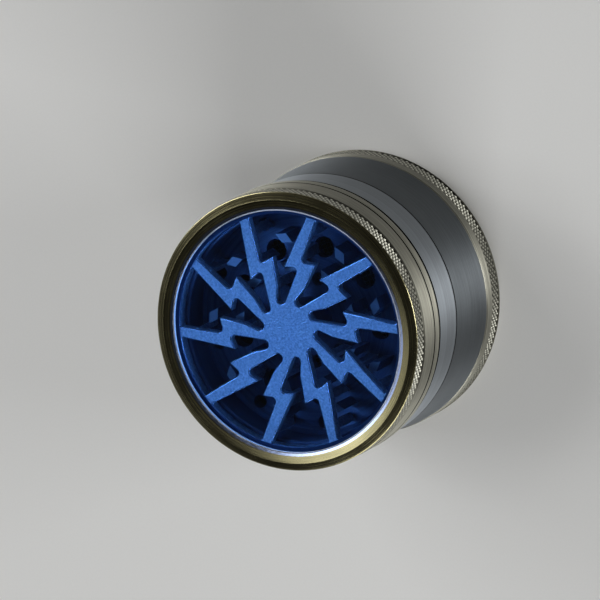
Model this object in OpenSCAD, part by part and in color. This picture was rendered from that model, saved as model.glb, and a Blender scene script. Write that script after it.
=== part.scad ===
// Four-part hand grinder: a lid with a clear window over ten bolt-shaped spokes, a grinding
// chamber with diamond teeth, a collection chamber with a screen, and a base cup. +Z is up the
// turning axis and the base stands on z = 0. The three lower parts screw together, and the lid
// turns on the chamber's tower on a plastic ring.

/* [Body] */
// Diameter over the lid and the base
body_d = 62.4; // [60:0.1:68]
// Height of the base cup up to the collection chamber
base_h = 7.4; // [7.4:0.1:12]
// Height of the collection chamber's outside wall
collector_h = 14.9; // [13:0.1:24]
// Height of the grinding chamber's outside wall
chamber_h = 10.15; // [8.5:0.05:16]
// Height of the lid, from its lower edge to the crest of its rim
lid_h = 12.65; // [12.4:0.05:16]
// Open seam under the lid, where it rides on the glide ring
lid_gap = 0.5; // [0.3:0.05:1]
// How far the waist of the two middle parts is drawn in
waist = 0.6; // [0.2:0.05:1]
// Bevel on the outside edges
edge = 0.3; // [0.15:0.05:0.4]
// Thickness of the base cup's floor
base_floor = 1.6; // [1:0.1:1.6]

/* [Lid] */
// Width of the rim, from the side of the lid in to the window
rim_w = 3.9; // [3.5:0.05:4.2]
// Distance from the side of the lid in to the crest of the rim
crest_in = 1.75; // [1.4:0.05:2]
// How far the rim's face sinks from the crest to the window
dish = 0.45; // [0.2:0.05:0.8]
// Radius of the rounded shoulder outside the crest
shoulder_r = 2.6; // [2.2:0.1:3.2]
// Thickness of the window
window_t = 1.35; // [1:0.05:2]
// Thickness of the bond under the window
bond_t = 0.2; // [0.1:0.05:0.3]
// Thickness of the spoked web
web_t = 2.05; // [1.5:0.05:2.6]
// Cutter radius left in the inside corners of the bolts
cutter_r = 0.95; // [0.6:0.05:1]
// Corner radius where a spoke meets the rim
root_r = 0.45; // [0.2:0.05:0.5]
// Height of the thin groove round the lid above its lower edge
groove_up = 2.65; // [2:0.05:3.5]
// Depth of that groove
groove = 0.25; // [0.1:0.05:0.4]

/* [Teeth] */
// Height of the chamber's teeth above its floor
tooth_h = 7.5; // [6:0.1:8]
// Radial width of every tooth
tooth_w = 2.0; // [1.6:0.05:2.2]
// Radial gap between a ring of lid teeth and a ring of chamber teeth
tooth_gap = 1.17; // [0.9:0.01:1.3]
// Gap between the outer ring of lid teeth and the chamber's wall
wall_gap = 1.6; // [1.2:0.05:2]
// Length of a chamber tooth round its ring
tooth_l = 2.45; // [1.6:0.05:3]
// Length of a lid tooth round its ring
lid_tooth_l = 1.5; // [1.2:0.05:1.8]
// How far a chamber tooth leans round its ring from its inner to its outer face
tooth_lean = 1.25; // [0:0.05:1.5]
// The same lean on a lid tooth
lid_tooth_lean = 0.8; // [0:0.05:0.9]
// Teeth, and drop holes, in each ring of the chamber
ring_count = 9; // [6:1:9]
// How far the chamber is turned under the lid at rest
rest_turn = 4.6; // [0:0.2:40]

/* [Drop holes] */
// Diameter of the large drop holes
hole_d = 4.8; // [3:0.1:5]
// Distance from the chamber's wall to the centres of the large drop holes
hole_in = 8.7; // [8.3:0.1:9.2]
// Diameter of the small drop holes by the wall and by the post
small_hole_d = 3.0; // [2:0.1:3.2]
// Floor left between the outer small holes and the wall
hole_wall = 1.0; // [0.9:0.1:1.5]
// Floor left between the inner small holes and the post
hole_post = 2.7; // [2:0.1:3]

/* [Walls and fits] */
// Step from the outside wall in to a spigot
spigot_step = 3.0; // [2.8:0.05:3.2]
// Wall of the spigots and of the chamber's tower
spigot_wall = 2.6; // [2.4:0.05:2.8]
// Length of the screwed spigots
spigot_l = 4.65; // [4:0.05:4.7]
// Gap between a spigot and its socket, and between the lid's skirt and the tower
clearance = 0.3; // [0.2:0.05:0.4]
// Running gap round the glide ring, the window, the screen seal and the chamber magnet
run_fit = 0.05; // [0.02:0.01:0.1]
// Gap left between the faces that meet when the parts are screwed home
face_gap = 0.04; // [0.02:0.01:0.1]
// Thickness of the chamber's floor
floor_t = 3; // [2:0.1:4]

/* [Screen] */
// Depth of the seat that holds the screen
seat_in = 1.0; // [0.9:0.05:1.1]
// Thickness of the screen seal
seal_t = 0.75; // [0.5:0.05:0.9]
// Thickness of the screen's hoop
hoop_t = 1.1; // [0.9:0.05:1.3]
// Radial width of the hoop
hoop_w = 2.1; // [1.8:0.1:2.5]
// Thickness of the spring clip
clip_t = 1.0; // [0.8:0.05:1.2]
// How far the spring clip springs out into its groove
clip_bite = 0.35; // [0.2:0.05:0.4]
// Thickness of the woven mesh
mesh_t = 0.2; // [0.15:0.05:0.3]

/* [Magnets] */
// Diameter of both magnets
magnet_d = 7.9; // [6:0.1:8]
// Thickness of both magnets
magnet_t = 3; // [2:0.1:3]
// Wall of the post round its magnet
post_wall = 1.25; // [1:0.05:1.5]

/* [Hidden] */
$fn = 180;
big = 100;

// Radii, from the outside in
body_r = body_d / 2;
waist_edge_r = body_r - 0.15;
spigot_r = body_r - spigot_step;
socket_r = spigot_r + clearance;
bore_r = spigot_r - spigot_wall;
relief = 0.5;
seat_r = bore_r + seat_in;
tower_r = spigot_r - 0.2;
skirt_r = tower_r + clearance;
crest_r = body_r - crest_in;
recess_r = body_r - rim_w;
open_r = bore_r + 0.5;
magnet_r = magnet_d / 2;
post_r = magnet_r + post_wall;

// Rings of teeth and holes: lid teeth and chamber teeth take turns from the wall inwards
ring_step = tooth_w + tooth_gap;
outer_ring_r = bore_r - wall_gap - tooth_w / 2;
lid_rings = [for (k = [0, 2, 4]) outer_ring_r - k * ring_step];
chamber_rings = [for (k = [1, 3]) outer_ring_r - k * ring_step];
small_rings = [bore_r - hole_wall - small_hole_d / 2, post_r + hole_post + small_hole_d / 2];

// Heights of the seams, from the base up
base_top = base_h - face_gap;
collector_top = base_h + collector_h;
chamber_low = collector_top + face_gap;
shoulder_z = chamber_low + chamber_h;
lid_low = shoulder_z + lid_gap;
crest_z = lid_low + lid_h;

// The lid's layers, from the window down
window_top = crest_z - dish - 0.05;
window_low = window_top - window_t;
web_top = window_low - bond_t;
web_low = web_top - web_t;

// The tower that the lid turns on, and the glide ring on top of it
tower_top = web_low - 1.5;
tower_in_r = bore_r;
glide_t = 1.25;
glide_show = 0.3;
glide_in_r = open_r + 0.6;
glide_out_r = tower_r - 0.15;
land_z = tower_top + glide_show + run_fit;
land_r = open_r + 0.2;

// The chamber's floor, and what stands on it or hangs down to it
floor_z = shoulder_z - 0.45;
floor_low = floor_z - floor_t;
floor_bevel = 0.8;
tooth_top = floor_z + tooth_h;
lid_tooth_low = floor_z + 0.6;
boss_low = tooth_top + 0.3;
// Turn of each ring of lid teeth off the spokes' centre lines, from the outer ring in
lid_tooth_turn = [1.2, 6.3, -0.6];

// Waist: one large arc over the walls of both middle parts
waist_mid = (shoulder_z + base_h) / 2 + 0.4;
waist_half = (shoulder_z - base_h) / 2;
waist_arc_r = (pow(waist_half, 2) + pow(waist, 2)) / (2 * waist);

// Screen, hung under a ledge in the collection chamber
ledge_z = base_h + 1.6;
seal_low = ledge_z - run_fit - seal_t;
hoop_top = seal_low - run_fit;
hoop_low = hoop_top - hoop_t;
mesh_z = (hoop_top + hoop_low) / 2;
hoop_in_r = seat_r - 0.1 - hoop_w;
mesh_r = hoop_in_r + 1.25;
clip_play = 0.02;
clip_low = hoop_low - clip_play - clip_t;
clip_in_r = hoop_in_r + 0.2;

// Base cup
base_ledge_z = base_h - spigot_l - 0.15;
bowl_round = 0.9;
foot_recess = 0.4;
foot_w = 3.6;
foot_edge = 0.6;

// One bolt-shaped spoke, drawn pointing up the page from the hub at the origin. Its right edge
// runs down from the rim to a notch, out to a barb, and in past a bend to the slot by the hub.
// Its left edge has its barb lower down.
spokes = 10;
pitch = 360 / spokes;
right_rim = [1.05, 26.08];
right_notch = [-0.52, 15.75];
right_barb = [3.0, 16.3];
right_bend = [1.55, 10.3];
left_rim = [-1.22, 26.07];
left_barb = [-4.1, 13.4];
left_notch = [-0.72, 14.6];
slot_centre = [1.15, 6.98];
slot_r = 1.08;
// A round is cut this much past tangent, so that it crosses the sides that it blends into
overcut = 0.01;

function turn(p, a) = [p[0] * cos(a) - p[1] * sin(a), p[0] * sin(a) + p[1] * cos(a)];
function unit(v) = v / norm(v);
function left_of(v) = [-v[1], v[0]];

// Centre of the circle of radius r that rounds the corner at b between the edges to a and c
function round_centre(a, b, c, r) =
    let (u = unit(a - b), w = unit(c - b), half = acos(u * w) / 2)
    b + unit(u + w) * r / sin(half);
// The point of the edge from b towards a where that circle touches it
function touch(b, a, centre) = b + unit(a - b) * ((centre - b) * unit(a - b));
// Centre of the circle of radius r inside both the rim circle and the edge from p towards q,
// on the side of that edge to which n points
function rim_centre(p, q, n, r) =
    let (d = unit(q - p), s = p + n * r, along = s * d, reach = open_r - r)
    s + d * (-along - sqrt(pow(along, 2) - s * s + pow(reach, 2)));
// The point where a line from p touches the circle of radius r round c, on its side s
function slot_touch(p, c, r, s) =
    let (v = c - p, far = norm(v))
    p + turn(unit(v), s * asin(r / far)) * sqrt(far * far - r * r);

module turned() rotate_extrude() children();

// A bevel cut at the point p of a turned outline
module bevel(p, size) translate(p) rotate(45) square(size * sqrt(2), center = true);

// What the waist takes off a turned outline
module waist_cut() {
    translate([waist_edge_r, 0]) square([big, big]);
    translate([waist_edge_r - waist + waist_arc_r, waist_mid])
        circle(r = waist_arc_r, $fn = 720);
}

// The opening between two spokes as a cutter of height h, with the rounds that a milling
// cutter leaves in its corners
module opening(h) {
    next_rim = turn(left_rim, -pitch);
    next_barb = turn(left_barb, -pitch);
    next_notch = turn(left_notch, -pitch);
    down = unit(right_notch - right_rim);
    next_down = unit(next_barb - next_rim);
    corner_a = rim_centre(right_rim, right_notch, left_of(down), root_r);
    corner_b = rim_centre(next_rim, next_barb, -left_of(next_down), root_r);
    notch_a = round_centre(right_rim, right_notch, right_barb, cutter_r);
    slot_a = slot_touch(right_bend, slot_centre, slot_r, -1);
    slot_b = slot_touch(next_notch, slot_centre, slot_r, 1);
    notch_b = round_centre(slot_b, next_notch, next_barb, cutter_r);
    intersection() {
        cylinder(r = open_r, h = h);
        linear_extrude(h) polygon([
            touch(right_rim, right_notch, corner_a),
            unit(corner_a) * open_r,
            turn([0, open_r + 3], -pitch * 0.3),
            turn([0, open_r + 3], -pitch * 0.7),
            unit(corner_b) * open_r,
            touch(next_rim, next_barb, corner_b),
            next_barb,
            touch(next_notch, next_barb, notch_b),
            touch(next_notch, slot_b, notch_b),
            slot_b,
            slot_a,
            right_bend,
            right_barb,
            touch(right_notch, right_barb, notch_a),
            touch(right_notch, right_rim, notch_a)]);
    }
    for (corner = [corner_a, corner_b]) translate(corner) cylinder(r = root_r + overcut, h = h);
    for (notch = [notch_a, notch_b]) translate(notch) cylinder(r = cutter_r + overcut, h = h);
    translate(slot_centre) cylinder(r = slot_r + overcut, h = h);
}

// A diamond tooth on a ring of radius r: its inner and outer faces lie across the radius, and
// its sides lean from the inner face to the outer one
module tooth(r, angle, length, lean, low, high)
    rotate(angle) translate([r, 0, low]) linear_extrude(high - low)
        polygon([
            [-tooth_w / 2, -(length + lean) / 2],
            [tooth_w / 2, (lean - length) / 2],
            [tooth_w / 2, (length + lean) / 2],
            [-tooth_w / 2, (length - lean) / 2]]);

// A ring of holes right through the chamber's floor
module holes(ring_r, d)
    for (k = [0 : ring_count - 1])
        rotate(rest_turn + k * 360 / ring_count) translate([ring_r, 0, floor_low - 1])
            cylinder(d = d, h = floor_t + 2);

// Outline of a spigot's outer side, from its lower edge up to the seam it is screwed up to:
// a bevel, the threaded length and the relief above it
function spigot_side(seam_z) = [
    [spigot_r - edge, seam_z - spigot_l], [spigot_r, seam_z - spigot_l + edge],
    [spigot_r, seam_z - relief - 0.6], [spigot_r - relief, seam_z - 0.8],
    [spigot_r - relief, seam_z], [big, seam_z]];

module base_cup() color("#c9c4b4") turned() {
    polygon([
        [0, foot_recess], [body_r - foot_edge - foot_w - foot_recess, foot_recess],
        [body_r - foot_edge - foot_w, 0], [body_r - foot_edge, 0], [body_r, foot_edge],
        [body_r, base_top - edge], [body_r - edge, base_top], [socket_r + edge, base_top],
        [socket_r, base_top - edge], [socket_r, base_ledge_z], [seat_r, base_ledge_z],
        [seat_r, base_floor + bowl_round], [seat_r - bowl_round, base_floor + bowl_round],
        [seat_r - bowl_round, base_floor], [0, base_floor]]);
    // metal left under the rounded corner of the bowl
    difference() {
        translate([seat_r - bowl_round, base_floor]) square(bowl_round);
        translate([seat_r - bowl_round, base_floor + bowl_round]) circle(r = bowl_round);
    }
}

module collection_chamber() color("#a9acab") turned() difference() {
    polygon(concat(
        [[seat_r, base_h - spigot_l]], spigot_side(base_h),
        [[big, collector_top], [socket_r + edge, collector_top],
        [socket_r, collector_top - edge], [socket_r, collector_top - spigot_l - clearance],
        [bore_r, collector_top - spigot_l - clearance - (socket_r - bore_r) / 3],
        [bore_r, ledge_z], [seat_r, ledge_z]]));
    waist_cut();
    bevel([waist_edge_r, collector_top], edge);
    // the spring clip's groove
    translate([0, clip_low - clip_play])
        square([seat_r + clip_bite + 0.2, clip_t + 2 * clip_play]);
}

module screen_seal() color("#2b2b2d") turned()
    translate([bore_r + 0.1, seal_low]) square([seat_in - 0.1 - run_fit, seal_t]);

module screen_hoop() color("#b8babb") turned() difference() {
    translate([hoop_in_r, hoop_low]) square([hoop_w, hoop_t]);
    for (z = [hoop_low, hoop_top]) bevel([hoop_in_r + hoop_w, z], 0.15);
    translate([0, mesh_z - mesh_t / 2]) square([mesh_r + run_fit, mesh_t]);
}

module screen_mesh() color("#9a9c9d")
    translate([0, 0, mesh_z - mesh_t / 2]) cylinder(r = mesh_r, h = mesh_t);

// A gap and two plier holes let the clip be squeezed out of its groove
module screen_clip() color("#8f9192") difference() {
    turned() translate([clip_in_r, clip_low]) square([seat_r + clip_bite - clip_in_r, clip_t]);
    rotate(90) translate([clip_in_r - 3, -2, clip_low - 1]) cube([10, 4, clip_t + 2]);
    for (a = [83, 97]) rotate(a) translate([clip_in_r + 1, 0, clip_low - 1])
        cylinder(d = 1.1, h = clip_t + 2);
}

module grinding_chamber() color("#cfd3d6") difference() {
    union() {
        turned() difference() {
            polygon(concat(
                [[0, floor_low], [bore_r - floor_bevel, floor_low],
                [bore_r, floor_low - floor_bevel], [bore_r, chamber_low - spigot_l + edge],
                [bore_r + edge, chamber_low - spigot_l]], spigot_side(chamber_low),
                [[big, shoulder_z], [tower_r, shoulder_z],
                [tower_r, tower_top - edge], [tower_r - edge, tower_top],
                [tower_in_r + edge, tower_top], [tower_in_r, tower_top - edge],
                [tower_in_r, floor_z + floor_bevel], [tower_in_r - floor_bevel, floor_z],
                [0, floor_z]]));
            waist_cut();
            bevel([waist_edge_r, chamber_low], edge);
            bevel([waist_edge_r, shoulder_z], edge * 1.4);
        }
        translate([0, 0, floor_z - 1]) cylinder(r = post_r, h = tooth_h + 1);
        for (ring_r = chamber_rings, k = [0 : ring_count - 1])
            tooth(ring_r, rest_turn + (k + 0.5) * 360 / ring_count, tooth_l, tooth_lean,
                floor_z - 1, tooth_top);
    }
    holes(bore_r - hole_in, hole_d);
    for (ring_r = small_rings) holes(ring_r, small_hole_d);
    translate([0, 0, tooth_top - magnet_t - run_fit])
        cylinder(r = magnet_r + run_fit, h = magnet_t + 1);
}

module chamber_magnet() color("#b4b6b8")
    translate([0, 0, tooth_top - magnet_t]) cylinder(r = magnet_r, h = magnet_t - run_fit);

module glide_ring() color("#f1efe8") turned()
    translate([glide_in_r, tower_top + run_fit / 2])
        square([glide_out_r - glide_in_r, glide_t]);

module lid_outline() {
    difference() {
        polygon([
            [0, web_low], [land_r, web_low], [land_r, land_z], [skirt_r, land_z],
            [skirt_r, lid_low + edge], [skirt_r + edge, lid_low],
            [body_r - edge, lid_low], [body_r, lid_low + edge], [body_r, crest_z - shoulder_r],
            [crest_r, crest_z - shoulder_r], [crest_r, crest_z], [recess_r, crest_z - dish],
            [recess_r, web_top], [0, web_top]]);
        // the glide ring's groove
        translate([glide_in_r - run_fit, land_z - 1])
            square([glide_out_r - glide_in_r + 2 * run_fit, glide_t - glide_show + 1]);
        bevel([body_r, lid_low + groove_up], groove);
    }
    // the rounded shoulder outside the crest
    intersection() {
        translate([crest_r - 0.1, crest_z - shoulder_r]) circle(r = shoulder_r);
        translate([crest_r - 0.01, crest_z - shoulder_r])
            square([crest_in + 0.01, shoulder_r]);
    }
}

module lid() color("#b7ad93") difference() {
    union() {
        difference() {
            turned() lid_outline();
            for (k = [0 : spokes - 1])
                rotate(k * pitch - 90) translate([0, 0, web_low - 1]) opening(web_t + 2);
        }
        translate([0, 0, boss_low]) cylinder(r = post_r, h = web_top - boss_low - 0.5);
        // every other spoke carries a tooth of the inner ring
        for (ring = [0 : 2], k = [0 : ring < 2 ? 1 : 2 : spokes - 1])
            tooth(lid_rings[ring], k * pitch + lid_tooth_turn[ring], lid_tooth_l,
                lid_tooth_lean, lid_tooth_low, web_top - 0.5);
    }
    translate([0, 0, boss_low - 1]) cylinder(r = magnet_r, h = magnet_t + 1);
}

module lid_magnet() color("#b4b6b8")
    translate([0, 0, boss_low]) cylinder(r = magnet_r, h = magnet_t);

module window_bond() color("#d8dbe0") turned()
    translate([open_r + 0.05, web_top]) square([recess_r - open_r - 0.2, bond_t]);

module window() color("#2f6fd6") turned() difference() {
    translate([0, window_low]) square([recess_r - run_fit, window_t]);
    bevel([recess_r - run_fit, window_top], 0.15);
}

base_cup();
collection_chamber();
screen_seal();
screen_hoop();
screen_mesh();
screen_clip();
grinding_chamber();
chamber_magnet();
glide_ring();
lid();
lid_magnet();
window_bond();
window();
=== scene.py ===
# %% [markdown]
# # A four-part hand grinder
# The real one is turned from aluminium bar: a lid with a clear window over ten bolt-shaped
# spokes, a grinding chamber with diamond teeth, a collection chamber with a fine screen, and a
# knurled base cup. The solids come from the construction model and keep their places. This
# script gives them their finishes, and makes again the pieces whose knurl, threads, weave or
# polished edge is too fine for the solids.

import math

import bmesh
import bpy
from mathutils import Matrix, Vector


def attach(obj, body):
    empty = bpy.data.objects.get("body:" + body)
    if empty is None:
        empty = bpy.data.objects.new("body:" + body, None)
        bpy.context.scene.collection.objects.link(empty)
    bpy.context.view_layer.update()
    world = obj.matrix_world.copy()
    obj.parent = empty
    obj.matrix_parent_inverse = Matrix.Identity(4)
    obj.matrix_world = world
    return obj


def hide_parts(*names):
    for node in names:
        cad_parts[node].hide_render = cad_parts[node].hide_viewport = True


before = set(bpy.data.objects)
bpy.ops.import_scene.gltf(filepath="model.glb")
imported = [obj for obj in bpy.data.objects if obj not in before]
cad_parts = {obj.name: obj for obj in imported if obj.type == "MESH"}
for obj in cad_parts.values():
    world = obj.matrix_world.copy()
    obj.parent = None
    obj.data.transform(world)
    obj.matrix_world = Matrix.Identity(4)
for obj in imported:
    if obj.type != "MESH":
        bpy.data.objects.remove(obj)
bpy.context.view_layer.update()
MM = 0.001
print("nodes:", sorted(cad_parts))

# %% [markdown]
# ## The camera
# The view is from above and to one side with a very long lens, so the circles stay almost true
# ellipses. The camera is also rolled, so that the base points up and to the right. Three unit
# vectors say it most plainly: what is right, what is up, and what points at the camera.

# %% Camera
camera_at = Vector((189.451, -1699.603, 3294.144)) * MM
picture_right = Vector((-0.371012, -0.831909, -0.412646))
picture_up = Vector((0.927273, -0.307887, -0.213005))
towards_camera = picture_right.cross(picture_up)

camera_data = bpy.data.cameras.new("Camera")
camera_data.sensor_width = 36
camera_data.lens = 1010.55
camera_data.clip_end = 50
camera = bpy.data.objects.new("Camera", camera_data)
bpy.context.scene.collection.objects.link(camera)
turn = Matrix((picture_right, picture_up, towards_camera)).transposed().to_4x4()
camera.matrix_world = Matrix.Translation(camera_at) @ turn
bpy.context.scene.camera = camera
print("camera", round(camera_at.length, 3), "m from the base")

# %% [markdown]
# ## Helpers for materials
# Colours are written as the hex values that a paint chart or a screen shows, and Blender wants
# them linear, so one function turns them. Another adds a shader node. Each of its inputs is
# linked if it is another node's output, and set if it is a value, so a material reads as a
# list of what feeds what.


# %% Colour and node helpers
def linear(hex_colour, shade=1.0):
    """A linear colour from an sRGB hex value such as "b5aa8a", darker or lighter by shade."""
    parts = [int(hex_colour[i : i + 2], 16) / 255 for i in (0, 2, 4)]
    parts = [c / 12.92 if c <= 0.04045 else ((c + 0.055) / 1.055) ** 2.4 for c in parts]
    return [min(c * shade, 1) for c in parts] + [1]


def plug(tree, node, inputs):
    """Links each input that is given another node's output, and sets each other one."""
    for name, value in inputs.items():
        if isinstance(value, bpy.types.NodeSocket):
            tree.links.new(value, node.inputs[name])
        else:
            node.inputs[name].default_value = value


def add(tree, kind, inputs, **settings):
    """Adds a shader node with its settings, and plugs its inputs."""
    made = tree.nodes.new("ShaderNode" + kind)
    for name, value in settings.items():
        setattr(made, name, value)
    plug(tree, made, inputs)
    return made


def finish(name):
    """A new material with its node tree, its shader and the place on the piece."""
    made = bpy.data.materials.new(name)
    made.use_nodes = True
    tree = made.node_tree
    return made, tree, tree.nodes["Principled BSDF"], add(tree, "TexCoord", {}).outputs["Object"]


print("a middle grey on a screen, made linear:", [round(part, 3) for part in linear("808080")])

# %% [markdown]
# ## Turned and anodised aluminium
# A lathe leaves fine rings round the axis, and anodising turns them satin. The rings depend
# only on the radius and the height, so those two numbers drive the pattern: a noise that is
# stretched right round the part. The rings of the real part are a few hundredths of a
# millimetre apart, and are drawn at 0.35 mm so that they show. The dye takes unevenly along
# them, in streaks a few millimetres long. The metal's brightness, its shine and its bump all
# follow both. The grooves also spread the shine up and down, across them, so a lamp shows as a
# stripe down the side: that is the shader's anisotropy, with a tangent that runs round the axis.
# Handling leaves soft patches a little brighter or duller. The corners of the joints, where the
# gaps between parts fall into shadow, are given black painted shade.

# %% Radius and lathe rings
RING_SPACING = 0.35  # between the lathe's rings, in mm


def radius_of(tree, place):
    """The distance from the axis, as a node's output."""
    flat = add(tree, "VectorMath", {0: place, 1: (1, 1, 0)}, operation="MULTIPLY")
    return add(tree, "VectorMath", {0: flat.outputs[0]}, operation="LENGTH").outputs["Value"]


def lathe_rings(tree, place, spacing_mm=RING_SPACING):
    """A noise that changes with radius and height but not round the part."""
    height = add(tree, "SeparateXYZ", {0: place}).outputs["Z"]
    both = add(tree, "CombineXYZ", {"X": radius_of(tree, place), "Y": height}).outputs[0]
    rings = add(tree, "TexNoise", {"Vector": both, "Scale": 1 / (spacing_mm * MM), "Detail": 2},
        noise_dimensions="2D")
    return rings.outputs["Fac"]


def streaks(tree, place, length_mm, height_mm):
    """A noise in thin level streaks along the rings."""
    sizes = (1 / (length_mm * MM), 1 / (length_mm * MM), 1 / (height_mm * MM))
    drawn = add(tree, "VectorMath", {0: place, 1: sizes}, operation="MULTIPLY").outputs[0]
    return add(tree, "TexNoise", {"Vector": drawn, "Scale": 1, "Detail": 2}).outputs["Fac"]


print("rings every", RING_SPACING, "mm")

# %% Painted shade in the joints
# painted shade: near black where the gaps between parts fall into shadow
PAINTED_JOINT_SHADE = "0e0f0e"
SKIN_FROM = 30.4  # the painted joint shade lies outside this radius, and not on the ledges within


def painted_shade_bands(tree, place, bands_mm):
    """1 on the skin inside the level bands where shade is painted, each by its middle and half its
    height.
    """
    height = add(tree, "SeparateXYZ", {0: place}).outputs["Z"]
    total = 0.0
    for middle, half in bands_mm:
        band = add(tree, "Math", {0: height, 1: middle * MM, 2: half * MM}, operation="COMPARE")
        total = add(tree, "Math", {0: total, 1: band.outputs[0]}, operation="ADD").outputs[0]
    skin = add(tree, "Math", {0: radius_of(tree, place), 1: SKIN_FROM * MM},
        operation="GREATER_THAN")
    return add(tree, "Math", {0: total, 1: skin.outputs[0]}, operation="MULTIPLY").outputs[0]


def add_painted_joint_shade(tree, place, tint, shaded_joints_mm):
    """The tint with black painted shade over it at the joints, for the shadow in their gaps."""
    return add(tree, "Mix", {"Factor": painted_shade_bands(tree, place, shaded_joints_mm), "A": tint,
        "B": linear(PAINTED_JOINT_SHADE)}, data_type="RGBA").outputs["Result"]


# the near-black joints are painted shade
print("painted joint shade outside", SKIN_FROM, "mm")

# %% Brushed shine
BRUSHED = 0.8  # how far the grooves spread the shine, from 0 to 1
QUARTER_TURN = 0.25  # turns the spread from along the grooves to across them


def brush(tree, shader):
    """Spreads the shine across the rings, as fine grooves round the axis do."""
    round_the_axis = add(tree, "Tangent", {}, direction_type="RADIAL", axis="Z").outputs[0]
    plug(tree, shader, {"Anisotropic": BRUSHED, "Anisotropic Rotation": QUARTER_TURN,
        "Tangent": round_the_axis})


print("brushed by", BRUSHED)

# %% Turned aluminium
PATCH = 9  # how wide the patches left by handling are, in mm


def turned_aluminium(name, colour, rough, depth_mm=0.012, contrast=0.2, shaded_joints_mm=(),
        streak_mm=(8, 0.2), brushed=True):
    """Satin anodised aluminium as the lathe left it, with black painted shade in its joints.

    A joint is a middle and half a height, and a streak is a length and a height.
    """
    made, tree, shader, place = finish(name)
    marks = add(tree, "Math", {0: lathe_rings(tree, place), 1: streaks(tree, place, *streak_mm)},
        operation="ADD").outputs[0]
    patches = add(tree, "TexNoise", {"Vector": place, "Scale": 1 / (PATCH * MM)}).outputs["Fac"]
    both = add(tree, "Math", {0: marks, 1: patches}, operation="ADD").outputs[0]
    # one noise runs from about 0.3 to 0.7, so two or three added up run as these ranges say
    shine = add(tree, "MapRange", {"Value": both, "From Min": 1.1, "From Max": 1.9,
        "To Min": rough - 0.05, "To Max": rough + 0.07}).outputs[0]
    marked = add(tree, "MapRange", {"Value": marks, "From Min": 0.7, "From Max": 1.3}).outputs[0]
    tint = add(tree, "Mix", {"Factor": marked, "A": linear(colour, 1 - contrast),
        "B": linear(colour, 1 + contrast)}, data_type="RGBA").outputs["Result"]
    # painted shade in the joints
    if shaded_joints_mm:
        tint = add_painted_joint_shade(tree, place, tint, shaded_joints_mm)
    bump = add(tree, "Bump", {"Height": marks, "Distance": depth_mm * MM}).outputs[0]
    plug(tree, shader, {"Base Color": tint, "Metallic": 1, "Roughness": shine, "Normal": bump})
    if brushed:
        brush(tree, shader)
    return made


bronze = turned_aluminium("bronze_anodised_aluminium", "7c775a", 0.24, 0.003, 0.1,
    streak_mm=(12, 0.08), brushed=False)
khaki = turned_aluminium("khaki_anodised_aluminium", "7f7e74", 0.5, contrast=0.4,
    shaded_joints_mm=((35.64, 0.26), (33.1, 0.2)))  # painted shade in the lid's groove and at its lower edge
grey = turned_aluminium("grey_anodised_aluminium", "54585b", 0.5,
    shaded_joints_mm=((22.2, 0.16),))  # painted shade in the joint with the grinding chamber
print("turned finishes:", bronze.name, khaki.name, grey.name)

# %% [markdown]
# ## The knurl's finish
# Hands rub the tips of a knurl bright. The tips are also painted lighter, a painted highlight,
# and the valleys near black, painted shade where light doesn't reach. The distance from the axis
# tells a tip from a valley, so that number alone mixes the two colours.

# %% Knurled aluminium
BODY_R = 31.2  # the body's own radius, and the knurl's tips
VALLEY_R = 30.85

knurled, tree, shader, place = finish("knurled_khaki_aluminium")
tip_wear_and_painted_light = add(tree, "MapRange", {"Value": radius_of(tree, place), "From Min": VALLEY_R * MM,
    "From Max": BODY_R * MM}).outputs[0]
# near-black valleys are painted shade; light tips are wear and painted highlight
tint = add(tree, "Mix", {"Factor": tip_wear_and_painted_light, "A": linear("1c1c17"), "B": linear("bcbbae")},
    data_type="RGBA").outputs["Result"]
grain = add(tree, "TexNoise", {"Vector": place, "Scale": 1 / (0.5 * MM)}).outputs["Fac"]
shine = add(tree, "MapRange", {"Value": grain, "To Min": 0.2, "To Max": 0.4}).outputs[0]
plug(tree, shader, {"Base Color": tint, "Metallic": 1, "Roughness": shine})
print("knurl finish:", knurled.name)

# %% [markdown]
# ## Bead-blasted aluminium
# The spokes and the lid's teeth were blasted with glass beads after milling. That leaves tiny
# round dents about 0.1 mm across that scatter the light: a matt metal with a fine sparkle. The
# dents are drawn at 0.4 mm so that they show. A fine cutter then broke the sharp edges, which
# leaves a thin bright line round each spoke. The narrow lip round the window is cut bright in
# the same way; its blue tint is a painted reflection of the window's glowing edge.

# %% Blasted aluminium
DENT = 0.4  # how wide a dent is drawn, in mm

blasted, tree, shader, place = finish("blasted_aluminium")
dents = add(tree, "TexVoronoi", {"Vector": place, "Scale": 1 / (DENT * MM)}).outputs["Distance"]
grain = add(tree, "TexNoise", {"Vector": place, "Scale": 1 / (0.5 * MM), "Detail": 4})
grain = add(tree, "MapRange", {"Value": grain.outputs["Fac"], "From Min": 0.35,
    "From Max": 0.65}).outputs[0]
tint = add(tree, "Mix", {"Factor": grain, "A": linear("ced4dc"), "B": linear("ffffff")},
    data_type="RGBA").outputs["Result"]
bump = add(tree, "Bump", {"Height": dents, "Distance": 0.08 * MM, "Strength": 1}).outputs[0]
plug(tree, shader, {"Base Color": tint, "Metallic": 1, "Roughness": 0.48, "Normal": bump})
print("blasted finish:", blasted.name)


# %% Cut edges
def cut_aluminium(name, colour):
    """Bare metal as a sharp cutter leaves it, with faint marks in its shine."""
    made, tree, shader, place = finish(name)
    marks = add(tree, "TexNoise", {"Vector": place, "Scale": 1 / (0.6 * MM)}).outputs["Fac"]
    shine = add(tree, "MapRange", {"Value": marks, "To Min": 0.1, "To Max": 0.3}).outputs[0]
    plug(tree, shader, {"Base Color": linear(colour), "Metallic": 1, "Roughness": shine})
    return made


cut_edge = cut_aluminium("bright_cut_aluminium", "e4ebfa")
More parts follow.
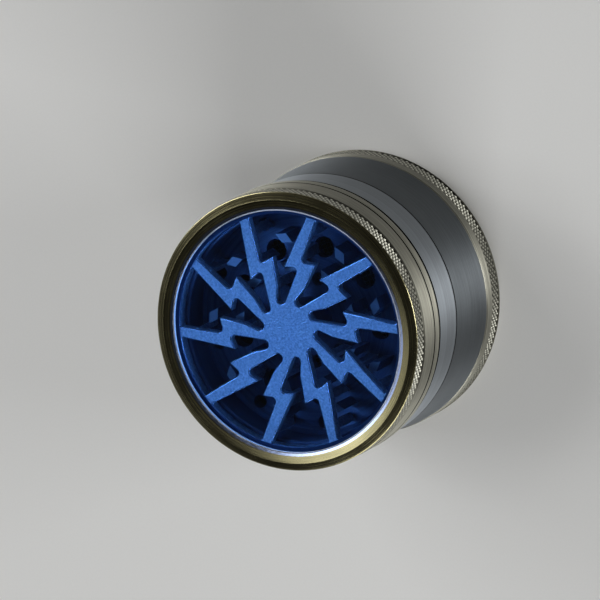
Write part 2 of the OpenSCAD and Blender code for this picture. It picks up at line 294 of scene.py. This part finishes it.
# the lip's blue tint is a painted reflection of the window's pale blue edge
lip_painted_blue = cut_aluminium("bright_cut_lip", "93a2c6")
print("cut finishes:", cut_edge.name, lip_painted_blue.name)

# %% [markdown]
# ## The grinding chamber's two finishes
# Outside, the chamber is silver like a worn coin. Inside, it is a bluish slate. The tops of its
# teeth and its hub are lighter: partly bare metal where the last cut skimmed them, partly a
# painted highlight. One material does all three by place: a mask for what lies inside the wall,
# and another for what lies as high as the tops.

# %% Chamber aluminium
SLATE_WITHIN, SLATE_ABOVE = 26.65, 29  # within and above these, in mm, the bluish slate
TOPS_WITHIN, TOPS_ABOVE = 24.5, 39.45  # and here the lighter tops: skimmed metal and painted highlight


def within_and_above(tree, radius, height, within_mm, above_mm):
    """1 inside a radius and above a height, and 0 elsewhere."""
    within = add(tree, "Math", {0: radius, 1: within_mm * MM}, operation="LESS_THAN").outputs[0]
    above = add(tree, "Math", {0: height, 1: above_mm * MM}, operation="GREATER_THAN").outputs[0]
    return add(tree, "Math", {0: within, 1: above}, operation="MULTIPLY").outputs[0]


silver, tree, shader, place = finish("silver_and_slate_anodised_aluminium")
radius = radius_of(tree, place)
height = add(tree, "SeparateXYZ", {0: place}).outputs["Z"]
rings = lathe_rings(tree, place)
bright = add(tree, "Mix", {"Factor": rings, "A": linear("62666a"), "B": linear("8c9297")},
    data_type="RGBA").outputs["Result"]
slate = add(tree, "Mix", {"Factor": rings, "A": linear("566073"), "B": linear("8892a8")},
    data_type="RGBA").outputs["Result"]
bluish_inside = within_and_above(tree, radius, height, SLATE_WITHIN, SLATE_ABOVE)
tint = add(tree, "Mix", {"Factor": bluish_inside, "A": bright, "B": slate},
    data_type="RGBA").outputs["Result"]
# the tops' lighter colour is partly bare skimmed metal and partly a painted highlight
tops = within_and_above(tree, radius, height, TOPS_WITHIN, TOPS_ABOVE)
tint = add(tree, "Mix", {"Factor": tops, "A": tint, "B": linear("b7bdc6")},
    data_type="RGBA").outputs["Result"]
tint = add_painted_joint_shade(tree, place, tint, ((22.44, 0.16), (32.43, 0.33)))  # painted shade at the lower edge and the shoulder
shine = add(tree, "MapRange", {"Value": rings, "To Min": 0.42, "To Max": 0.54}).outputs[0]
bump = add(tree, "Bump", {"Height": rings, "Distance": 0.01 * MM}).outputs[0]
plug(tree, shader, {"Base Color": tint, "Metallic": 1, "Roughness": shine, "Normal": bump})
brush(tree, shader)
print("chamber finish:", silver.name)

# %% [markdown]
# ## Tinted acrylic
# The window is cast acrylic, clear and dyed blue right through. Light passes it twice, going
# in and coming back, so the dye is lighter than the colour that reaches the eye. Blender's
# lamps can't find their way through bent glass, so a shadow ray sees a plain tinted sheet. The
# turned edge of the disc isn't polished: its fine scratches catch the light and glow pale
# blue, a thin bright ring round the window.

# %% Clear blue acrylic
DYE = "9bc2ee"
ACRYLIC_IOR = 1.49

acrylic, tree, shader, place = finish("blue_acrylic")
haze = add(tree, "TexNoise", {"Vector": place, "Scale": 1 / (2 * MM), "Detail": 4})
shine = add(tree, "MapRange", {"Value": haze.outputs["Fac"], "From Min": 0.4, "From Max": 0.8,
    "To Min": 0.01, "To Max": 0.06}).outputs[0]
plug(tree, shader, {"Base Color": linear(DYE), "Transmission Weight": 1, "Roughness": shine,
    "IOR": ACRYLIC_IOR})
shadow_ray = add(tree, "LightPath", {}).outputs["Is Shadow Ray"]
sheet = add(tree, "BsdfTransparent", {"Color": linear(DYE)}).outputs[0]
both = add(tree, "MixShader", {0: shadow_ray, 1: shader.outputs[0], 2: sheet})
plug(tree, tree.nodes["Material Output"], {"Surface": both.outputs[0]})
print("clear plastic:", acrylic.name)

# %% The window's turned edge
turned_edge, tree, shader, place = finish("turned_acrylic_edge")
scratches = lathe_rings(tree, place, 0.2)
tint = add(tree, "Mix", {"Factor": scratches, "A": linear("c4d8ff"), "B": linear("f6faff")},
    data_type="RGBA").outputs["Result"]
plug(tree, shader, {"Base Color": tint, "Roughness": 0.35, "IOR": ACRYLIC_IOR})
print("scratched plastic:", turned_edge.name)

# %% [markdown]
# ## The small finishes
# Nickel on the magnets, pressed stainless steel on the screen's hoop and clip, drawn wire in
# the screen, a white low-friction plastic in the glide ring, a ring of milky adhesive under the
# window and black rubber in the seal. Each gets a gentle change of shine and tint over its
# surface, as nothing real is even.


# %% Plain finishes
def plain_finish(name, colour, rough, metallic, patch_mm):
    """One colour with soft patches of shine and tint."""
    made, tree, shader, place = finish(name)
    patches = add(tree, "TexNoise", {"Vector": place, "Scale": 1 / (patch_mm * MM), "Detail": 4})
    patches = patches.outputs["Fac"]
    shine = add(tree, "MapRange", {"Value": patches, "To Min": rough * 0.7,
        "To Max": rough * 1.3}).outputs[0]
    tint = add(tree, "Mix", {"Factor": patches, "A": linear(colour, 0.88),
        "B": linear(colour, 1.1)}, data_type="RGBA").outputs["Result"]
    bump = add(tree, "Bump", {"Height": patches, "Distance": 0.01 * MM}).outputs[0]
    plug(tree, shader, {"Base Color": tint, "Metallic": metallic, "Roughness": shine,
        "Normal": bump})
    return made


nickel = plain_finish("nickel_plate", "c2c1be", 0.2, 1, 1.5)
stainless = plain_finish("pressed_stainless_steel", "b9bbbd", 0.3, 1, 2)
wire = plain_finish("drawn_stainless_wire", "b0b2b3", 0.35, 1, 1)
acetal = plain_finish("white_acetal", "efece4", 0.4, 0, 3)
adhesive = plain_finish("milky_acrylic_adhesive", "6b7794", 0.35, 0, 1.2)
rubber = plain_finish("black_nitrile_rubber", "242426", 0.6, 0, 0.8)
print("finishes:", len(bpy.data.materials))


# %% Dress the solids that keep their own shape
def dress(node, material):
    """Gives a solid its finish."""
    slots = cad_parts[node].data.materials
    slots.clear()
    slots.append(material)


for node, material in {
    "collection_chamber": grey, "grinding_chamber": silver, "screen_seal": rubber,
    "screen_hoop": stainless, "screen_clip": stainless, "chamber_magnet": nickel,
    "lid_magnet": nickel, "glide_ring": acetal, "window_bond": adhesive,
}.items():
    dress(node, material)
    print(node, "in", material.name)

# %% [markdown]
# ## Turning a shape from its outline
# A lathe makes a shape from an outline of radius and height, and so does this helper. It adds
# a circle, then pulls each next ring out of the last by an extrude, a lift and a resize. Flat
# ends at the axis are filled. The Spin tool could do the same, but it would leave a seam, and
# a ring of points in a known place is what the knurl needs afterwards.

# %% Edit-mode helpers
STEPS = 288  # points round each turned piece
MERGE = 0.0005 * MM  # points nearer than this become one
NEAR = 0.01  # places nearer than this, in mm, count as the same


def start_editing(piece):
    """Leaves only this piece selected, and opens it in edit mode with nothing selected."""
    if bpy.context.object and bpy.context.object.mode != "OBJECT":
        bpy.ops.object.mode_set(mode="OBJECT")
    bpy.ops.object.select_all(action="DESELECT")
    piece.select_set(True)
    bpy.context.view_layer.objects.active = piece
    bpy.ops.object.mode_set(mode="EDIT")
    bpy.ops.mesh.select_mode(type="VERT")
    bpy.ops.mesh.select_all(action="DESELECT")


def pick(piece, test, open_edges=False):
    """Selects by radius and height in mm: points, or only the open edges between them."""
    bpy.ops.mesh.select_all(action="DESELECT")
    mesh = bmesh.from_edit_mesh(piece.data)
    passes = {v: bool(test(v.co.xy.length / MM, v.co.z / MM, v.co)) for v in mesh.verts}
    if open_edges:
        for edge in mesh.edges:
            if edge.is_boundary and all(passes[v] for v in edge.verts):
                edge.select_set(True)
    else:
        for vertex, passed in passes.items():
            vertex.select_set(passed)
        mesh.select_flush_mode()
    bmesh.update_edit_mesh(piece.data)


def round_off(piece, angle_deg=30):
    """Turns all faces outwards, and smooths the shading except across sharper edges."""
    bpy.ops.mesh.select_all(action="SELECT")
    bpy.ops.mesh.normals_make_consistent(inside=False)
    bpy.ops.object.mode_set(mode="OBJECT")
    bpy.ops.object.shade_smooth_by_angle(angle=math.radians(angle_deg))


print("points merge below", MERGE / MM, "mm")

# %% Turned shapes
def turned(name, outline_mm, fill_start=False, fill_end=False):
    """A shape turned round the axis from its outline, left open in edit mode."""
    bpy.ops.object.select_all(action="DESELECT")
    radius, height = outline_mm[0]
    bpy.ops.mesh.primitive_circle_add(vertices=STEPS, radius=radius * MM,
        fill_type="NGON" if fill_start else "NOTHING", location=(0, 0, height * MM))
    piece = bpy.context.object
    piece.name = name
    bpy.ops.object.transform_apply(location=True, rotation=True, scale=True)
    bpy.ops.object.mode_set(mode="EDIT")
    bpy.ops.mesh.select_mode(type="EDGE")
    for next_radius, next_height in outline_mm[1:]:
        lift = (0, 0, (next_height - height) * MM)
        bpy.ops.mesh.extrude_edges_move(TRANSFORM_OT_translate={"value": lift})
        grow = next_radius / radius
        bpy.ops.transform.resize(value=(grow, grow, 1), center_override=(0, 0, 0))
        radius, height = next_radius, next_height
    if fill_end:
        bpy.ops.mesh.edge_face_add()
    bpy.ops.mesh.select_mode(type="VERT")
    return piece


def arc(centre, size, start_deg, end_deg, pieces):
    """Outline points along a part of a circle, both ends included."""
    turns = [math.radians(start_deg + (end_deg - start_deg) * i / pieces)
        for i in range(pieces + 1)]
    return [(centre[0] + size * math.cos(t), centre[1] + size * math.sin(t)) for t in turns]


print("turned pieces have", STEPS, "points round them")

# %% [markdown]
# ## The diamond knurl
# Two hardened wheels with crossed grooves are pressed into the turning part and raise rows of
# small pyramids. The wheels of the real one leave a diamond about every 1.4 mm. The turned
# shape has rings of points there, and every other point is pushed in, so that peaks and
# valleys make a chequer pattern. Each square is then cut along its shorter diagonal, which
# runs from valley to valley: the grooves come out as two families of crossing lines.

# %% Knurl
KNURL_ROWS = 6  # bands between the rings of points


def knurl_rings(top, bottom):
    """Outline points of a knurled band, its first and last ring at the bottom of the cut."""
    heights = [top + (bottom - top) * row / KNURL_ROWS for row in range(KNURL_ROWS + 1)]
    return [(VALLEY_R if row in (0, KNURL_ROWS) else BODY_R, height)
        for row, height in enumerate(heights)]


def press_knurl(piece, top, bottom):
    """Pushes every other point of the band in, and cuts its squares from valley to valley."""
    band = (bottom - top) / KNURL_ROWS

    def valley(radius, height, place):
        row = (height - top) / band
        if not 0.5 < row < KNURL_ROWS - 0.5 or abs(radius - BODY_R) > NEAR:
            return False
        column = math.atan2(place.y, place.x) / math.tau * STEPS
        return (round(column) + round(row)) % 2 == 1

    pick(piece, valley)
    press = VALLEY_R / BODY_R
    bpy.ops.transform.resize(value=(press, press, 1), center_override=(0, 0, 0))
    low, high = sorted((top, bottom))
    pick(piece, lambda radius, height, place:
        low - NEAR < height < high + NEAR and radius > VALLEY_R - NEAR)
    bpy.ops.mesh.quads_convert_to_tris(quad_method="SHORTEST_DIAGONAL", ngon_method="BEAUTY")


print("knurl:", STEPS // 2, "peaks round, each", round(BODY_R - VALLEY_R, 2), "mm high")

# %% [markdown]
# ## The lid
# The lid is one billet. Its outside is turned, dyed bronze and knurled, and the ten bolt
# spokes and the teeth are milled and blasted. The spokes and the teeth of the solid are right
# as they are, so a copy of the solid keeps them and loses its plain outer skin. A new skin is
# turned with the bright lip, the dish, the knurl and the side groove, and the two are bridged
# at the edge of the window's seat and at the top of the skirt, so that the lid is one closed
# shape again.

# %% Lid skin
WINDOW_SEAT = (27.3, 43.59)  # where the skin meets the web: radius and height
SKIRT_TOP = (28.3, 40.39)
LIP_R = 27.85  # the bright-cut lip round the window ends here
KNURL_TOP, KNURL_END = 44.8, 40.95

shoulder = arc((29.45, 45.44), 0.2, 102.5, 66, 4) + arc((30.7, 44.56), 0.5, 66, 32, 6)
lid_outline = (
    [(WINDOW_SEAT[0], 43.7), (WINDOW_SEAT[0], 45.163), (LIP_R, 45.286)]
    + shoulder
    + knurl_rings(KNURL_TOP, KNURL_END)
    + [(BODY_R, 40.8), (BODY_R, 35.89), (30.95, 35.64), (BODY_R, 35.39), (BODY_R, 33.29),
        (30.9, 32.99), (28.6, 32.99), (SKIRT_TOP[0], 33.29), (SKIRT_TOP[0], 40.3)]
)
skin = turned("lid_skin", lid_outline)
press_knurl(skin, KNURL_TOP, KNURL_END)
bpy.ops.object.mode_set(mode="OBJECT")
print("lid skin:", len(skin.data.polygons), "faces")


# %% Lid web from the solid
def plain_copy(node, name):
    """A merged copy of a solid's mesh, free of the normals that came with it."""
    copy = bpy.data.objects.new(name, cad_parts[node].data.copy())
    bpy.context.scene.collection.objects.link(copy)
    copy.data.materials.clear()
    start_editing(copy)
    bpy.ops.mesh.select_all(action="SELECT")
    bpy.ops.mesh.remove_doubles(threshold=MERGE)
    bpy.ops.mesh.customdata_custom_splitnormals_clear()
    bpy.ops.mesh.select_all(action="DESELECT")
    return copy


lid = plain_copy("lid", "lid_body")
pick(lid, lambda radius, height, place:
    (radius > WINDOW_SEAT[0] - NEAR and height > WINDOW_SEAT[1] - NEAR)
    or radius > SKIRT_TOP[0] - NEAR)
bpy.ops.mesh.delete(type="FACE")
bpy.ops.object.mode_set(mode="OBJECT")
print("lid web:", len(lid.data.polygons), "faces")

# %% Break the edges of the spokes
WEB_TOP, WEB_R = WINDOW_SEAT[1], 27  # how high and how wide the web of spokes is
EDGE_BREAK = 0.2


def pick_top_outline(piece):
    """Selects the sharp edges between the web's flat top and its upright walls."""
    bpy.ops.mesh.select_mode(type="EDGE")
    mesh = bmesh.from_edit_mesh(piece.data)
    for edge in mesh.edges:
        at_top = all(abs(v.co.z / MM - WEB_TOP) < NEAR and v.co.xy.length / MM < WEB_R
            for v in edge.verts)
        ups = sorted(abs(face.normal.z) for face in edge.link_faces)
        edge.select_set(at_top and len(ups) == 2 and ups[0] < 0.3 and ups[1] > 0.99)
    bmesh.update_edit_mesh(piece.data)


start_editing(lid)
bpy.ops.mesh.select_all(action="SELECT")
bpy.ops.mesh.dissolve_limited(angle_limit=math.radians(0.05))
bpy.ops.mesh.select_all(action="DESELECT")
pick_top_outline(lid)
bpy.ops.mesh.bevel(offset=EDGE_BREAK * MM, segments=4, affect="EDGES", clamp_overlap=False)
bpy.ops.mesh.region_to_loop()
bpy.ops.mesh.mark_sharp()
bpy.ops.mesh.select_mode(type="VERT")
bpy.ops.object.mode_set(mode="OBJECT")
print("lid web with broken edges:", len(lid.data.polygons), "faces")

# %% Join the web and the skin
lid_finishes = [blasted, bronze, khaki, knurled, cut_edge, lip_painted_blue]
for lid_finish in lid_finishes:
    lid.data.materials.append(lid_finish)
bpy.ops.object.select_all(action="DESELECT")
skin.select_set(True)
lid.select_set(True)
bpy.context.view_layer.objects.active = lid
bpy.ops.object.join()
while len(lid.data.materials) > len(lid_finishes):
    lid.data.materials.pop()

GAP = 0.15  # the open ends of the web and the skin are less than this apart in height

start_editing(lid)
for edge_radius, edge_height in (WINDOW_SEAT, SKIRT_TOP):
    pick(lid, lambda radius, height, place: abs(radius - edge_radius) < 2 * NEAR
        and abs(height - edge_height) < GAP, open_edges=True)
    bpy.ops.mesh.bridge_edge_loops()
round_off(lid)
print("one closed lid:", len(lid.data.polygons), "faces")

# %% Finishes of the lid
BRONZE_FROM = 27.2  # the dish and the shoulder, down to the knurl
SAG = 0.05  # the middle of a flat face lies a little nearer the axis than its corners

for face in lid.data.polygons:
    radius, height = face.center.xy.length / MM, face.center.z / MM
    if BRONZE_FROM < radius < LIP_R and height > KNURL_TOP:
        chosen = lip_painted_blue
    elif radius > BRONZE_FROM and height > KNURL_TOP:
        chosen = bronze
    elif radius > VALLEY_R - SAG and KNURL_END < height < KNURL_TOP:
        chosen = knurled
    elif radius > SKIRT_TOP[0] - SAG:
        chosen = khaki
    elif height > WEB_TOP - EDGE_BREAK and 0.1 < face.normal.z < 0.99:
        chosen = cut_edge
    else:
        chosen = blasted
    face.material_index = lid_finishes.index(chosen)
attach(lid, "lid")
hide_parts("lid")
print("lid:", len(lid.data.polygons), "faces")

# %% [markdown]
# ## The base cup
# The base is a shallow cup with the same knurl as the lid, so a hand finds the two ends by
# touch. All of it is turned: a shallow recess under a foot ring, the knurled and plain bands,
# a bevelled mouth, the threaded socket, and a bowl with a rounded corner for a fingertip.

# %% Base
BASE_KNURL_LOW, BASE_KNURL_TOP = 0.67, 4.45
base_outline = (
    [(26.6, 0.4), (27.0, 0), (30.6, 0), (BODY_R, 0.6)]
    + knurl_rings(BASE_KNURL_LOW, BASE_KNURL_TOP)
    + [(BODY_R, 4.6), (BODY_R, 7.06), (30.9, 7.36), (28.8, 7.36), (28.5, 7.06), (28.5, 2.6),
        (26.6, 2.6)]
    + arc((25.7, 2.5), 0.9, 0, -90, 6)
)
base = turned("base_body", base_outline, fill_start=True, fill_end=True)
press_knurl(base, BASE_KNURL_LOW, BASE_KNURL_TOP)
round_off(base)
base.data.materials.append(khaki)
base.data.materials.append(knurled)
for face in base.data.polygons:
    radius, height = face.center.xy.length / MM, face.center.z / MM
    in_band = radius > VALLEY_R - SAG and BASE_KNURL_LOW < height < BASE_KNURL_TOP
    face.material_index = 1 if in_band else 0
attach(base, "base")
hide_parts("base_cup")
print("base:", len(base.data.polygons), "faces")

# %% [markdown]
# ## The window
# A 1.35 mm disc, cut on the lathe. The faces keep the polish of the cast sheet, and the edge
# and its small bevel keep the marks of the tool.

# %% Window
window_outline = [(27.1, 43.79), (27.25, 43.94), (27.25, 44.89), (27.0, 45.14)]
window = turned("window_disc", window_outline, fill_start=True, fill_end=True)
round_off(window)
window.data.materials.append(acrylic)
window.data.materials.append(turned_edge)
for face in window.data.polygons:
    face.material_index = 0 if abs(face.normal.z) > 0.99 else 1
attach(window, "lid")
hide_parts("window")
print("window:", len(window.data.polygons), "faces")

# %% [markdown]
# ## The screw threads
# Each joint between the lower parts is a coarse right-hand thread, 1.5 mm a turn. A thread is
# one ridge that climbs as it goes round, so a single closed outline and the Screw modifier
# make it. The ridge of a spigot points out and that of a socket points in, half a turn apart,
# so they lie between each other at every step as the joint turns. Each is sunk a little into
# the wall that carries it.

# %% Threads
PITCH = 1.5
FLANK, CREST = 0.6, 0.12  # half the ridge's height at its foot and at its crest
SOCKET_RIDGE, SPIGOT_RIDGE = (28.7, 28.25), (28.0, 28.45)  # radii of foot and crest
TURNS, TURN_STEPS = 2, 96


def thread(name, ridge_radii, low, start_deg, body, material):
    """A ridge that winds up from a height, with closed ends."""
    bpy.ops.object.select_all(action="DESELECT")
    bpy.ops.mesh.primitive_plane_add(size=1, location=(0, 0, 0))
    ridge = bpy.context.object
    ridge.name = name
    foot_r, crest_r = ridge_radii
    corners = [(foot_r, -FLANK), (crest_r, -CREST), (foot_r, FLANK), (crest_r, CREST)]
    start = math.radians(start_deg)
    for vertex, (radius, height) in zip(ridge.data.vertices, corners):
        vertex.co = Vector((radius * math.cos(start), radius * math.sin(start),
            low + height)) * MM
    start_editing(ridge)
    bpy.ops.mesh.select_all(action="SELECT")
    bpy.ops.mesh.delete(type="ONLY_FACE")
    bpy.ops.object.mode_set(mode="OBJECT")
    screw = ridge.modifiers.new("screw", "SCREW")
    screw.angle = math.tau
    screw.screw_offset = PITCH * MM
    screw.iterations = TURNS
    screw.steps = screw.render_steps = TURN_STEPS
    bpy.ops.object.modifier_apply(modifier=screw.name)
    start_editing(ridge)
    bpy.ops.mesh.select_all(action="SELECT")
    bpy.ops.mesh.remove_doubles(threshold=MERGE)
    bpy.ops.mesh.fill_holes(sides=0)
    round_off(ridge)
    ridge.data.materials.append(material)
    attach(ridge, body)
    print(name, len(ridge.data.polygons), "faces")


BASE_THREAD, CHAMBER_THREAD = 3.4, 18.35  # heights where the two joints' threads start

thread("base_socket_thread", SOCKET_RIDGE, BASE_THREAD, 0, "base", khaki)
thread("collector_spigot_thread", SPIGOT_RIDGE, BASE_THREAD, 180, "collector",
    grey)
thread("collector_socket_thread", SOCKET_RIDGE, CHAMBER_THREAD, 0, "collector",
    grey)
thread("chamber_spigot_thread", SPIGOT_RIDGE, CHAMBER_THREAD, 180, "chamber",
    silver)

# %% [markdown]
# ## The woven screen
# The finest powder falls through a plain weave of stainless wire, each wire going over one
# and under the next. The real one has a wire every 0.2 mm and is drawn at 1.1 mm so that the
# weave can be seen. Each family of wires starts as a grid: its cross edges are deleted, every
# other crossing is lifted, what lies outside the hoop is cut away, and the lines that are left
# become round wires.

# %% Screen
WIRE_PITCH = 1.1
WIRE_R = 0.11
SCREEN_R = 25.6
SCREEN_Z = 7.6


def wires(name, along_x):
    """One family of parallel wires, waved over and under the other family."""
    count = 2 * round(SCREEN_R / WIRE_PITCH)
    size = count * WIRE_PITCH * MM
    bpy.ops.object.select_all(action="DESELECT")
    bpy.ops.mesh.primitive_grid_add(x_subdivisions=count, y_subdivisions=count, size=size,
        location=(0, 0, SCREEN_Z * MM))
    family = bpy.context.object
    family.name = name
    bpy.ops.object.transform_apply(location=True, rotation=True, scale=True)
    start_editing(family)
    bpy.ops.mesh.select_mode(type="EDGE")
    mesh = bmesh.from_edit_mesh(family.data)
    for edge in mesh.edges:
        step = edge.verts[0].co - edge.verts[1].co
        edge.select_set((abs(step.y) > abs(step.x)) == along_x)
    bmesh.update_edit_mesh(family.data)
    bpy.ops.mesh.delete(type="EDGE")
    bpy.ops.mesh.select_mode(type="VERT")
    pick(family, lambda radius, height, place: radius > SCREEN_R)
    bpy.ops.mesh.delete(type="VERT")
    for odd in (0, 1):
        pick(family, lambda radius, height, place: (round(place.x / MM / WIRE_PITCH)
            + round(place.y / MM / WIRE_PITCH)) % 2 == odd)
        lift = WIRE_R * MM * (1 if (odd == 1) == along_x else -1)
        bpy.ops.transform.translate(value=(0, 0, lift))
    bpy.ops.object.mode_set(mode="OBJECT")
    bpy.ops.object.convert(target="CURVE")
    family.data.bevel_depth = WIRE_R * MM
    family.data.bevel_resolution = 1
    family.data.use_fill_caps = True
    bpy.ops.object.convert(target="MESH")
    return family


warp = wires("screen_weave", True)
weft = wires("screen_weft", False)
bpy.ops.object.select_all(action="DESELECT")
weft.select_set(True)
warp.select_set(True)
bpy.context.view_layer.objects.active = warp
bpy.ops.object.join()
start_editing(warp)
bpy.ops.mesh.select_all(action="SELECT")
bpy.ops.mesh.remove_doubles(threshold=MERGE)
round_off(warp, 50)
warp.data.materials.clear()
warp.data.materials.append(wire)
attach(warp, "collector")
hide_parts("screen_mesh")
print("screen:", len(warp.data.polygons), "faces")

# %% [markdown]
# ## Floor and light
# The grinder stands on pale paper. The room's walls are pale only low down and its ceiling is
# dim, so that dark polished metal stays dark on top. Five soft lamps do the rest. The key hangs
# over the far side and draws the long highlight on the dish, which the tail lamp lengthens. The
# front lamp is low and narrow, and puts the bright stripe down the turned sides. The side lamp
# throws the shadow, and the low edge lamp draws a thin line along the shoulder. Together they
# stay at a plain level, at which a colour looks about as it is written.

# %% Floor
FLOOR_SIZE = 8000  # wide enough that its edge is never near

bpy.ops.object.select_all(action="DESELECT")
bpy.ops.mesh.primitive_plane_add(size=FLOOR_SIZE * MM)
floor = bpy.context.object
floor.name = "floor"
paper, tree, shader, place = finish("floor_paper")
fibre = add(tree, "TexNoise", {"Vector": place, "Scale": 1 / (0.5 * MM), "Detail": 2})
tint = add(tree, "Mix", {"Factor": fibre.outputs["Fac"], "A": linear("e6e6e4"),
    "B": linear("eaeae8")}, data_type="RGBA").outputs["Result"]
plug(tree, shader, {"Base Color": tint, "Roughness": 0.9})
floor.data.materials.append(paper)
print("floor in", paper.name)

# %% Lamps
LAMPS_AIM = Vector((0, 0, 25)) * MM  # the middle of the grinder


def lamp(name, place_mm, wide_mm, tall_mm, watts):
    """An area lamp that points at the grinder."""
    data = bpy.data.lights.new(name, "AREA")
    data.shape = "RECTANGLE"
    data.size, data.size_y = wide_mm * MM, tall_mm * MM
    data.energy = watts
    made = bpy.data.objects.new(name, data)
    bpy.context.scene.collection.objects.link(made)
    made.location = Vector(place_mm) * MM
    aim = LAMPS_AIM - made.location
    made.rotation_euler = aim.to_track_quat("-Z", "Y").to_euler()
    print("lamp", name, round(aim.length, 2), "m away")


lamp("key", (457, 640, 1144), 460, 460, 3)
lamp("front", (-246, -857, 125), 380, 200, 7)
lamp("side", (-945, 33, 326), 800, 400, 8)
lamp("edge", (760, 457, 150), 620, 200, 6.5)
lamp("tail", (263, 980, 947), 500, 400, 0.6)

# %% Sky
WALLS, CEILING = 1.0, 0.03  # how strongly the sky glows at eye level and higher up
CEILING_FROM = 0.25  # the sine of the angle at which the ceiling starts

world = bpy.data.worlds.new("sky")
bpy.context.scene.world = world
world.use_nodes = True
tree = world.node_tree
upward = add(tree, "SeparateXYZ", {0: add(tree, "TexCoord", {}).outputs["Generated"]}).outputs["Z"]
glow = add(tree, "MapRange", {"Value": upward, "From Max": CEILING_FROM, "To Min": WALLS,
    "To Max": CEILING}).outputs[0]
plug(tree, tree.nodes["Background"], {"Color": linear("f2f2f2"), "Strength": glow})
bpy.context.scene.view_settings.view_transform = "Standard"
print("view transform:", bpy.context.scene.view_settings.view_transform)
